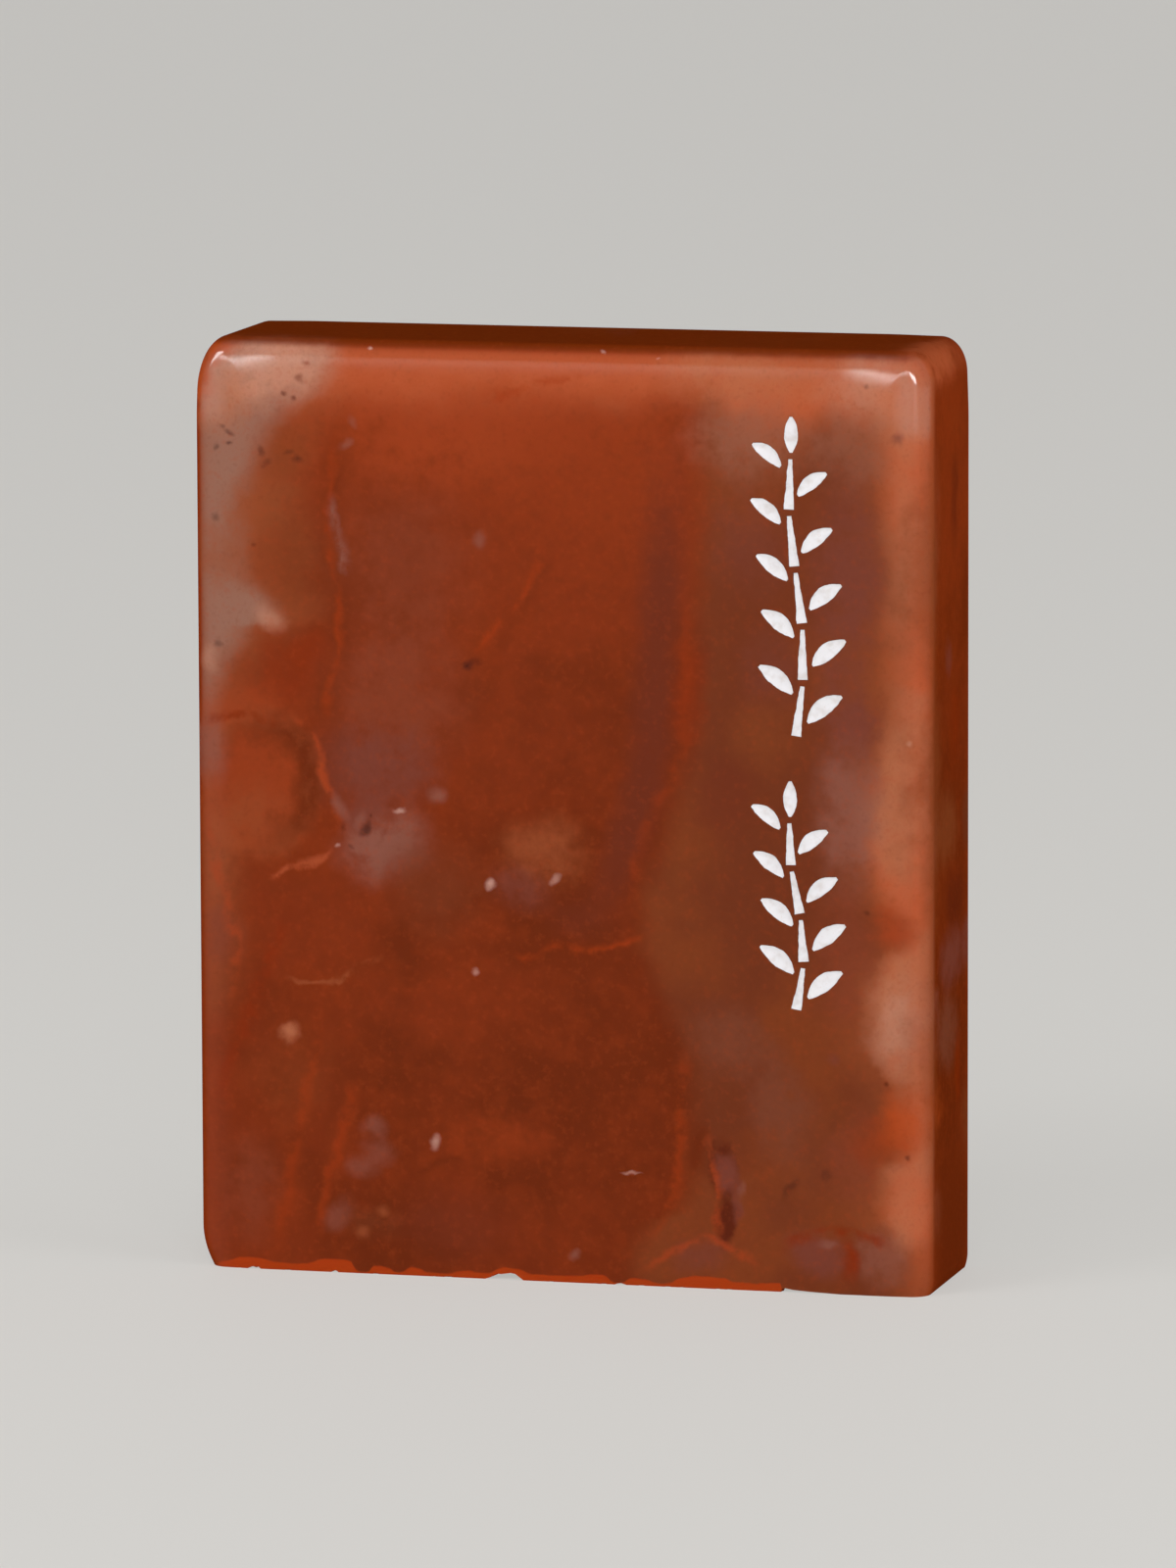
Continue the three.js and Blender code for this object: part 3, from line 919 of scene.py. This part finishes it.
# Small marks: x, z, half width, half height, tone, strength, and tilt where there is one.
marks = [
    (-18.3, 45.2, 0.2, 0.14, "ink", 0.4), (-17.9, 44.85, 0.34, 0.16, "ink", 0.55, 30),
    (-18, 44.2, 0.18, 0.16, "ink", 0.6), (-18.7, 44, 0.16, 0.18, "ink", 0.45),
    (-16.15, 43.85, 0.16, 0.34, "ink", 0.45, -25), (-15.85, 43.3, 0.14, 0.32, "ink", 0.4, 30),
    (-14.8, 43.9, 0.34, 0.12, "ink", 0.4), (-14.3, 43.55, 0.3, 0.18, "ink", 0.6, 30),
    (-14.9, 46.9, 0.18, 0.14, "maroon", 0.6), (-14.5, 46.7, 0.18, 0.14, "maroon", 0.6),
    (-13.8, 48.7, 0.3, 0.2, "rust", 0.6), (-14.1, 47.8, 0.22, 0.26, "plum", 0.5),
    (-18.8, 40.4, 0.22, 0.26, "ink", 0.45), (-16.6, 38.7, 0.16, 0.14, "maroon", 0.5),
    (-18.6, 33.5, 0.18, 0.22, "ink", 0.45), (-15.8, 35, 0.9, 0.7, "cream", 0.5, 30),
    (-19.1, 32.8, 0.6, 0.8, "cream", 0.4), (-4.95, 32.75, 0.4, 0.24, "ink", 0.8, -25),
    (-4.4, 33, 0.4, 0.16, "maroon", 0.5), (-4.2, 39.5, 0.4, 0.5, "lilac", 0.5),
    (-11.5, 44.4, 0.26, 0.34, "lilac", 0.5, 30), (-11.3, 45.6, 0.2, 0.36, "lilac", 0.35, -25),
    (-10.5, 24, 0.28, 0.5, "ink", 0.7, 30), (-10.2, 24.7, 0.16, 0.16, "ink", 0.5),
    (-11.9, 23.9, 0.18, 0.36, "maroon", 0.5), (-11.3, 23, 0.18, 0.14, "ink", 0.4),
    (-12, 25, 0.36, 0.9, "lilac", 0.6, -25), (-10.9, 24.4, 0.3, 0.5, "lilac", 0.5, 30),
    (-8.7, 25, 0.36, 0.18, "chalk", 0.65), (-6.7, 25.9, 0.6, 0.5, "lilac", 0.7),
    (-12.05, 22.9, 0.18, 0.12, "chalk", 0.5), (-3.8, 21.1, 0.34, 0.3, "chalk", 0.8),
    (-0.25, 21.5, 0.4, 0.26, "chalk", 0.5, -25), (-4.5, 16.5, 0.28, 0.18, "chalk", 0.5),
    (-6.9, 7.1, 0.34, 0.44, "chalk", 0.6), (3.8, 6, 0.5, 0.1, "chalk", 0.5),
    (0.9, 1.5, 0.34, 0.34, "lilac", 0.6), (-10.3, 49.4, 0.18, 0.14, "chalk", 0.9),
    (2.4, 49.6, 0.14, 0.1, "chalk", 0.6), (5.5, 49.4, 0.14, 0.1, "chalk", 0.5),
    (18.3, 45.4, 0.34, 0.34, "mauve", 0.7), (16.7, 48.2, 0.2, 0.18, "maroon", 0.5),
    (16.7, 20.4, 0.2, 0.2, "ink", 0.45), (17.6, 11.3, 0.2, 0.16, "maroon", 0.7),
    (18.8, 7.5, 0.18, 0.18, "maroon", 0.7), (14.8, 12.6, 0.4, 0.34, "mauve", 0.6),
    (14.8, 9.2, 0.3, 0.8, "olive", 0.7), (12.6, 5.6, 0.34, 0.7, "ink", 0.45, 30),
    (14.5, 6.3, 0.22, 0.34, "ink", 0.35, 30), (14.5, 2.7, 0.5, 0.34, "lilac", 0.6),
    (19.1, 29.4, 0.18, 0.18, "cream", 0.5), (9, 7.6, 0.4, 0.3, "maroon", 0.7, 30),
    (9.9, 5.3, 0.2, 0.5, "lilac", 0.4), (-9.8, 3.4, 0.4, 0.3, "clay", 0.7),
    (-10.8, 2.2, 0.5, 0.34, "clay", 0.7),
]
# Veins of the front, down it and then across: their points as x and z, half width, tone, strength.
veins = [
    ([(-11.7, 47.4), (-12.1, 43), (-12.4, 40.9), (-12.4, 39.3), (-12, 37.2), (-11.8, 35.2),
      (-12.1, 32.5), (-12.6, 30.4), (-12.4, 27.8), (-12.3, 25.7), (-12.8, 23.6)], 1.3, "deep", 0.7),
    ([(-11.8, 46), (-12.2, 43), (-12.5, 40.9), (-12.5, 39.3), (-12.1, 37.2), (-11.9, 35.2),
      (-12.2, 32.5), (-12.7, 30.4), (-12.5, 27.8)], 0.4, "vein", 0.6),
    ([(-12.3, 42), (-12.1, 40.2), (-11.8, 38.7), (-11.2, 37.2)], 0.5, "lilac", 0.7),
    ([(-14.9, 30), (-14.1, 28.7), (-13.7, 27.5), (-13.5, 26.2), (-13.7, 24.9), (-14.8, 23)],
     0.9, "deep", 0.9),
    ([(-14.7, 30.2), (-13.7, 29.1), (-13.1, 28.1), (-12.9, 26.8), (-12.5, 25.5), (-11.9, 23.9)],
     0.45, "flame", 0.9),
    ([(-19.9, 26.6), (-19.4, 23.4), (-18.8, 21.6), (-18.1, 19.2), (-17.8, 17.1), (-18, 14)],
     0.5, "flame", 0.8),
    ([(-14.2, 20.4), (-15.6, 17.5), (-16.4, 15.6), (-17, 13.5), (-17.9, 11.8), (-18.4, 10.2),
      (-18.7, 7.4)], 0.7, "rust", 0.7),
    ([(-1.2, 39.8), (-1.3, 37.8), (-2.4, 36.2), (-3.5, 34.9), (-4.5, 33)], 0.4, "vein", 0.7),
    ([(-0.4, 39), (-1.5, 36.6), (-2.7, 34.9), (-3.5, 33)], 0.6, "deep", 0.5),
    ([(6.9, 38.4), (6.9, 32.1), (6.6, 27.9), (5.4, 25.8), (4.5, 23.7), (4.1, 21.6), (4.1, 20.3),
      (4.6, 18.6)], 0.6, "vein", 0.3),
    ([(6.8, 13), (6.7, 9.6), (6.5, 7), (6.3, 4.9), (5.6, 3.6), (4.5, 1.8)], 0.5, "vein", 0.55),
    ([(8.1, 8.6), (8.3, 6.6), (8.7, 5.4), (8.6, 3.9), (8.7, 2.4)], 0.35, "flame", 0.8),
    ([(-12.9, 14), (-13.7, 10.9), (-14.2, 8.3), (-14.7, 5.6), (-15.2, 2.9), (-15.5, 0.6)],
     0.6, "vein", 0.45),
    ([(-12, 13.2), (-12.2, 9.4), (-12.8, 7.8), (-13.3, 5.7), (-13.7, 3.5), (-14.4, 0.6)],
     0.8, "deep", 0.5),
    ([(-11.3, 11), (-11.6, 8.6), (-12.2, 6.6), (-12.9, 4.4), (-13.2, 1.4)], 0.5, "vein", 0.45),
    ([(-16.2, 20.9), (-14.9, 21.7), (-13.6, 22.1), (-12.1, 22.9)], 0.4, "peach", 0.5),
    ([(-15.4, 15.7), (-12.7, 15.8), (-11.1, 16.4), (-9.4, 17.2)], 0.25, "clay", 0.8),
    ([(-19.8, 29), (-18.6, 29.7), (-17, 29.9), (-16, 29.5), (-14.8, 29.5)], 0.35, "rust", 0.8),
    ([(-4.4, 46.9), (-2.1, 47.5), (-0.5, 48), (1.1, 48.2), (2, 48.8)], 0.4, "vein", 0.6),
    ([(-8.6, 5.2), (-7, 6), (-5, 6.6)], 0.4, "deep", 0.8),
    ([(-3.9, 16.5), (-1.6, 17.2), (1, 16.9), (3.6, 17.8)], 0.8, "deep", 0.6),
    ([(-3.2, 17.7), (-1.7, 17.4), (-0.1, 18), (1.5, 17.8), (3.4, 18.3), (5, 19)], 0.35, "vein", 0.7),
    ([(4.2, 0.5), (6.3, 2), (7.9, 2.6), (9.5, 2.1), (11.2, 1.2)], 0.4, "flame", 0.7),
    ([(11.7, 2), (13.2, 3), (14.8, 3.4), (16.4, 3.3), (18.4, 2.3)], 0.5, "rust", 0.8),
]
# Height of the glowing lip where the stone is thin over the carved face: x, height.
lip = [
    (-19.4, 0), (-18.9, 0.25), (-18, 0.45), (-17.4, 0.6), (-16.3, 0.52), (-14.7, 0.36), (-13.3, 0.6),
    (-12.2, 0.7), (-11.5, 0.6), (-10.95, 0.05), (-10.5, 0.1), (-10.2, 0.38), (-9.4, 0.34), (-8.9, 0.12),
    (-8.1, 0.4), (-7.4, 0.2), (-6.6, 0.15), (-5.2, 0.38), (-4.5, 0.3), (-4, 0.3), (-3, 0.62),
    (-2.1, 0.5), (-1.2, 0.32), (1.2, 0.4), (2.2, 0.48), (2.7, 0.15), (3.3, 0.05), (3.9, 0.35),
    (4.8, 0.3), (5.4, 0.15), (6.4, 0.45), (7.6, 0.6), (8.8, 0.6), (9.6, 0.4), (12, 0.42), (12.1, 0),
]
# Clouds that the front does not show: noise scale, level they start at, shift, tone, strength.
hiddenClouds = [
    (0.16, 0.53, 4.0, "olive", 0.75),
    (0.2, 0.56, 9.0, "clay", 0.8),
    (0.13, 0.57, 15.0, "tan", 0.7),
    (0.24, 0.58, 21.0, "plum", 0.8),
    (0.3, 0.62, 33.0, "maroon", 0.6),
]
figure = {
    "drift": (0.13, 3, 2.6),  # bends the zones: scale, detail and reach
    "waver": (0.6, 4, 1.1),  # roughens their outlines
    "ragged": (0.9, 4, 0.6),  # breaks up clouds and veins: scale, detail and roughness
    "slow": (0.13, 3, 0.5),  # slow changes of the ground
    "grain": (3.2, 2, 0.5),
    "wander": 0.8,  # how far a vein strays from its points
    "soft": 0.9,  # share of a cloud over which it fades to its rim
    "sideSoft": 0.8,
    "reachIn": 4.0,  # how deep the clouds of the front and the side go
    "markReachIn": 1.2,
    "markGrowth": 1.4,  # how much wider a mark is drawn, since its rim fades
    "hiddenStretch": (1.0, 0.45, 0.55),
    "hiddenTurn": (0.1, 0.3, 0.2),
    "wash": 0.002,  # white that the gloss adds, which the colours go without
}
polish = {
    "flats": 0.05,  # strength of the gloss on the flats
    "edges": 0.05,  # more of it on the rounded edges
    "corners": 0.65,  # and at the top corners
    "cornerReach": (5.0, 3.5),  # millimetres from a corner between which that grows
    "edgeReach": (2.2, 1.2),
    "coatRoughness": 0.13,
    "coatIndex": 2.0,
    "roughness": 0.14,  # least, and how much more it has where the stone is dull
    "dullness": 0.1,
    "unit": 0.05,  # millimetres of height for a level of 1
    "raggedRise": 0.1,
    "swellRise": 0.6,
    "grainRise": 0.015,
    "scatter": 0.25,
    "scatterReach": 1.5,  # millimetres
    "scatterColours": (1.0, 0.35, 0.15),
}


class StoneFigure(Shader):
    def __init__(self, name):
        super().__init__(name)
        self.whole = self.place()
        self.fine = self.shifted(self.whole, *figure["waver"])
        self.broad = self.shifted(self.fine, *figure["drift"])
        self.x, self.y, self.z = self.axes(self.whole)
        self.fineX, self.fineZ = self.axes(self.fine)[::2]
        self.ragged = self.speckle(self.whole, *figure["ragged"])
        self.slow = self.speckle(self.broad, *figure["slow"])
        self.grain = self.speckle(self.whole, *figure["grain"])
        self.uneven = self.ragged * 2  # these two roughen the rims of clouds
        self.thinner = self.ragged * -2
        self.broken = self.ease(self.ragged, 0.3, 0.6)  # and these two break veins up
        self.wander = (self.ragged - 0.5) * figure["wander"]
        # The front's colours go in deeper at its right edge, and the hidden clouds start behind them.
        depth = self.ease(self.x, halfWidth - 1.5, halfWidth - 0.3, 1.2) + 0.45
        self.onFront = self.ease((self.y - front) / depth, 1, 0)
        behind = self.ease(self.y, front + 0.8, front + 4.5)
        self.inside = behind * self.ease(self.x, halfWidth - 0.2, halfWidth - 3)
        self.colour = tones["deep"]
        self.turns = {}

    def shifted(self, place, scale, detail, reach):  # a place pushed about by noise
        push = self.vectors("SUBTRACT", self.speckle(self.whole, scale, detail, 0.55, 1), (0.5,) * 3)
        return self.vectors("ADD", place, self.scaled(push, reach))

    def turned(self, place, tilt):  # a place turned about Y, made once for each angle
        if (place, tilt) not in self.turns:
            sockets = {"Vector": place, "Rotation": (0, -math.radians(tilt), 0)}
            self.turns[place, tilt] = self.out(self.node("ShaderNodeMapping", None, sockets))
        return self.turns[place, tilt]

    # Lays a tone, or a colour that is mixed already, over the colour so far.
    def paint(self, mask, tint):
        self.colour = self.mix(mask, self.colour, tones[tint] if isinstance(tint, str) else tint)

    def paintFront(self, mask, tint):
        self.paint(mask * self.onFront, tint)

    # The strength in the middle of an ellipsoid, fading to 0 at its rim.
    def spot(self, place, middle, size, strength, soft=figure["soft"], tilt=0, even=False):
        centre = Matrix.Rotation(-math.radians(tilt), 3, "Y") @ Vector(middle)
        shrink = [1 / length for length in size]
        shift = [-at / length for at, length in zip(centre, size)]
        sockets = {0: self.turned(place, tilt), 1: shrink, 2: shift}
        local = self.node("ShaderNodeVectorMath", {"operation": "MULTIPLY_ADD"}, sockets)
        away = self.node("ShaderNodeVectorMath", {"operation": "LENGTH"}, {0: self.out(local)})
        if even:
            return self.ease(self.out(away, 1), 1, 1 - soft, strength)
        depth = self.maths("MULTIPLY_ADD", self.out(away, 1), self.thinner, self.uneven)
        return self.ease(depth, 0, soft, strength)

    # How far across lies from the line through the points, and the share of the line's length there.
    def line(self, along, across, points):
        starts = [p[0] for p in points]
        sides = [p[1] for p in points]
        low, high = min(starts), max(starts)
        least, most = min(sides) - 0.5, max(sides) + 0.5
        route = sorted(((s - low) / (high - low), (v - least) / (most - least)) for s, v in points)
        share = self.out(self.node("ShaderNodeMapRange", None, {0: along, 1: low, 2: high}))
        curve = self.node("ShaderNodeFloatCurve", {"route": route}, {"Value": share})
        return across - self.maths("MULTIPLY_ADD", self.out(curve), most - least, least), share

    def offLine(self, along, across, points):
        return self.line(along, across, points)[0]

    # The strength on a line through the points, fading over its half width and towards its ends.
    def vein(self, along, across, points, halfWide, strength):
        off, share = self.line(along, across, points)
        line = self.ease(abs(off + self.wander), halfWide, 0, strength)
        return line * self.ease(abs(share - 0.5), 0.5, 0.3) * self.broken


# Ground: slow and quick changes between the deep and the glowing red, and the clouds of the back.
def layGround(stone):
    stone.paint(stone.ease(stone.slow, 0.36, 0.6), "field")
    stone.paint(stone.ease(stone.fineZ, 24, 44, 0.5), "ember")
    stone.paint(stone.ease(stone.fineX, -3, 4) * stone.ease(stone.fineZ, 36, 26, 0.6), "deep")
    stone.paint(stone.ease(stone.ragged, 0.4, 0.72, 0.35), "ember")
    stone.paint(stone.ease(stone.ragged, 0.5, 0.25, 0.25), "deep")
    for scale, low, shift, tint, strength in hiddenClouds:
        sockets = {
            "Vector": stone.whole,
            "Location": (shift, shift, -shift),
            "Rotation": figure["hiddenTurn"],
            "Scale": figure["hiddenStretch"],
        }
        field = stone.speckle(stone.out(stone.node("ShaderNodeMapping", None, sockets)), scale, 4, 0.55)
        stone.paint(stone.ease(field, low, low + 0.12, strength) * stone.inside, tint)


# Light that creeps round the edges of the faces.
def layEdgeLight(stone):
    rim = stone.maths("MINIMUM", halfWidth - abs(stone.fineX), blockHeight - stone.fineZ)
    onFace = stone.ease(abs(stone.y), back - 0.9, back - 0.15)
    stone.paint(stone.ease(rim, 2.2, 0.2, 0.4) * onFace, "flame")
    atSide = stone.ease(abs(stone.x), halfWidth - 0.8, halfWidth - 0.1, 0.4)
    stone.paint(stone.ease(back - abs(stone.y), 2.6, 0.6) * atSide, "ember")


# Zones of the front: browner stone on the right, and painted light, as glow and reflection, in pale zones
# along the left and right edges and the top.
def layZones(stone):
    across = stone.offLine(stone.fineZ, stone.fineX, turning)
    brown = stone.mix(stone.ease(stone.slow, 0.4, 0.62), tones["olive"], tones["gold"])
    stone.paintFront(stone.ease(across, -0.5, 1.6, 0.85), brown)
    band = stone.ease(abs(across + 1.5), 1.9, 0.2, 0.85)
    stone.paintFront(band * stone.ease(stone.z, 17, 24) * stone.ease(stone.z, 46, 42), "plum")
    # From here on, painted light: pale zones along the left and right edges and under the top stand in for
    # light glowing through the stone near its edges and reflected off them.
    toLeftGlow = stone.offLine(stone.fineZ, stone.fineX, leftGlowBorder)
    stone.paintFront(stone.ease(toLeftGlow, 4.6, 0.4, 0.7), "clay")
    toRightGlow = stone.offLine(stone.fineZ, stone.fineX, rightGlowBorder)
    stone.paintFront(stone.ease(toRightGlow, -3.0, 0.2, 0.6), "clay")
    toTop = stone.offLine(stone.fineX, stone.fineZ, topGlowBorder)
    patches = stone.ease(stone.speckle(stone.whole, 0.16, 3), 0.42, 0.58)
    strip = stone.mix(patches, tones["sand"], tones["peach"])
    stone.paintFront(stone.ease(toTop, -1.6, 1.6, 0.9), "peach")
    stone.paintFront(stone.ease(toRightGlow, -0.8, 1.4, 0.9), strip)
    stone.paintFront(stone.ease(toLeftGlow, 1.4, -1.0, 0.95), "tan")


# Clouds, then painted shade that darkens the top but leaves out its right corner, and painted glow at the
# right edge.
def layClouds(stone):
    deep = figure["reachIn"]
    for cx, cz, halfX, halfZ, tint, strength, *softAndTilt in clouds:
        size = (halfX, deep, halfZ)
        mask = stone.spot(stone.broad, (cx, front, cz), size, strength, *softAndTilt)
        stone.paint(mask, tint)
    for cy, cz, halfY, halfZ, tint, strength in sideClouds:
        size = (deep, halfY, halfZ)
        mask = stone.spot(stone.broad, (halfWidth, cy, cz), size, strength, figure["sideSoft"])
        stone.paint(mask, tint)
    toSide = halfWidth - stone.x
    fromCorner = toSide + blockHeight - stone.z
    # Painted shade: the top and the upper part of its rounding are darkened to umber, fading out near the
    # top right corner.
    upper = stone.ease(stone.z, blockHeight - 0.55, blockHeight - 0.12, 0.9)
    stone.paint(upper * stone.ease(fromCorner, 0.5, 2.5), "umber")
    # Painted glow along the right edge of the front.
    stone.paintFront(stone.ease(toSide, 1.6, 0.5, 0.2), "blaze")


def layVeins(stone):
    for points, halfWide, tint, strength in veins:
        start, end = points[0], points[-1]
        if abs(end[1] - start[1]) > abs(end[0] - start[0]):
            route = [(z, x) for x, z in points]
            mask = stone.vein(stone.fineZ, stone.fineX, route, halfWide, strength)
        else:
            mask = stone.vein(stone.fineX, stone.fineZ, points, halfWide, strength)
        stone.paintFront(mask, tint)


# Marks of the front, and the grain and stray specks of all the stone.
def laySpecks(stone):
    growth = figure["markGrowth"]
    for mx, mz, halfX, halfZ, tint, strength, *tilt in marks:
        size = (halfX * growth, figure["markReachIn"], halfZ * growth)
        middle = (mx, front, mz)
        mask = stone.spot(stone.fine, middle, size, strength, figure["soft"], *tilt, even=True)
        stone.paint(mask, tint)
    stone.paint(stone.ease(stone.grain, 0.5, 0.8, 0.22), "flame")
    stone.paint(stone.ease(stone.grain, 0.5, 0.2, 0.16), "deep")
    dots = stone.node("ShaderNodeTexVoronoi", None, {"Vector": stone.whole, "Scale": 0.55})
    spotted = stone.ease(stone.out(dots), 0.1, 0.05, 0.6)
    regions = stone.ease(stone.speckle(stone.whole, 0.3, 1), 0.5, 0.6)
    stone.paint(spotted * regions * stone.inside, "ink")


# Lip lit through the thin frame of the carved face.
def layLip(stone):
    low, high = lip[0][0], lip[-1][0]
    route = [((px - low) / (high - low), height) for px, height in lip]
    share = (stone.x - low) / (high - low)
    lipTop = stone.out(stone.node("ShaderNodeFloatCurve", {"route": route}, {"Value": share}))
    mask = stone.ease(stone.z + (stone.ragged - 0.5) * 0.3 - lipTop, 0.08, -0.06, 0.9)
    mask = mask * stone.ease(stone.y, front + 0.6, front + 0.1) * stone.ease(stone.x, high + 0.1, high)
    stone.paint(mask, "lip")


# Gloss: strongest at the rounded top corners, and weak where a face is seen at a slant.
def glossLevel(stone):
    facing = stone.out(stone.node("ShaderNodeLayerWeight", None, {"Blend": 0.5}), 1)
    toSide = halfWidth - abs(stone.x)
    toTop = blockHeight - stone.z
    fromCorner = stone.maths("MAXIMUM", toSide, toTop)
    corner = stone.ease(fromCorner, *polish["cornerReach"], polish["corners"])
    rounded = stone.ease(stone.maths("MINIMUM", toSide, toTop), *polish["edgeReach"])
    level = rounded * (corner + polish["edges"]) + polish["flats"]
    return level * stone.ease(facing, 0.5, 0.25)


def stoneFinish():
    stone = StoneFigure("mottled_stone")
    layGround(stone)
    layEdgeLight(stone)
    layZones(stone)
    layClouds(stone)
    layVeins(stone)
    laySpecks(stone)
    layLip(stone)
    swells = stone.speckle(stone.whole, 0.12, 1)
    height = stone.ragged * polish["raggedRise"] + swells * polish["swellRise"]
    height = height + stone.grain * polish["grainRise"]
    sockets = {"Strength": 1.0, "Distance": polish["unit"] * mm, "Height": height}
    bump = stone.node("ShaderNodeBump", None, sockets)
    sockets = {
        "Base Color": stone.vectors("SUBTRACT", stone.colour, (figure["wash"],) * 3),
        "Roughness": stone.ease(stone.ragged, 0.3, 0.8, polish["dullness"]) + polish["roughness"],
        "Specular IOR Level": 0.0,
        "Coat Weight": glossLevel(stone),
        "Coat Roughness": polish["coatRoughness"],
        "Coat IOR": polish["coatIndex"],
        "Subsurface Weight": polish["scatter"],
        "Subsurface Radius": polish["scatterColours"],
        "Subsurface Scale": polish["scatterReach"] * mm,
        "Normal": stone.out(bump),
    }
    return stone.finish(stone.node("ShaderNodeBsdfPrincipled", None, sockets))


def makeStone(cuts):
    stone = roundedBlock()
    print("stone: block lofted")
    carveSealFace(stone)
    print("stone: seal face carved")
    biteFrame(stone)
    chipFoot(stone)
    cutGrooves(stone, cuts)
    print("stone: knife cuts made")
    shadeSmooth(stone, block["smoothBelow"])
    toMetres(stone)
    stone.data.materials.append(stoneFinish())
    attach(stone, "root")
    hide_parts("stone_block")
    print("stone: finished,", len(stone.data.polygons), "faces")


makeCamera()
makeFloor()
makeLamps()
print("studio ready")
sprigs = allCuts()
makeStone(sprigs)
white = pigmentFinish()
for cut in sprigs:
    pigmentFill(cut, white)
print("pigment:", len(sprigs), "fills")
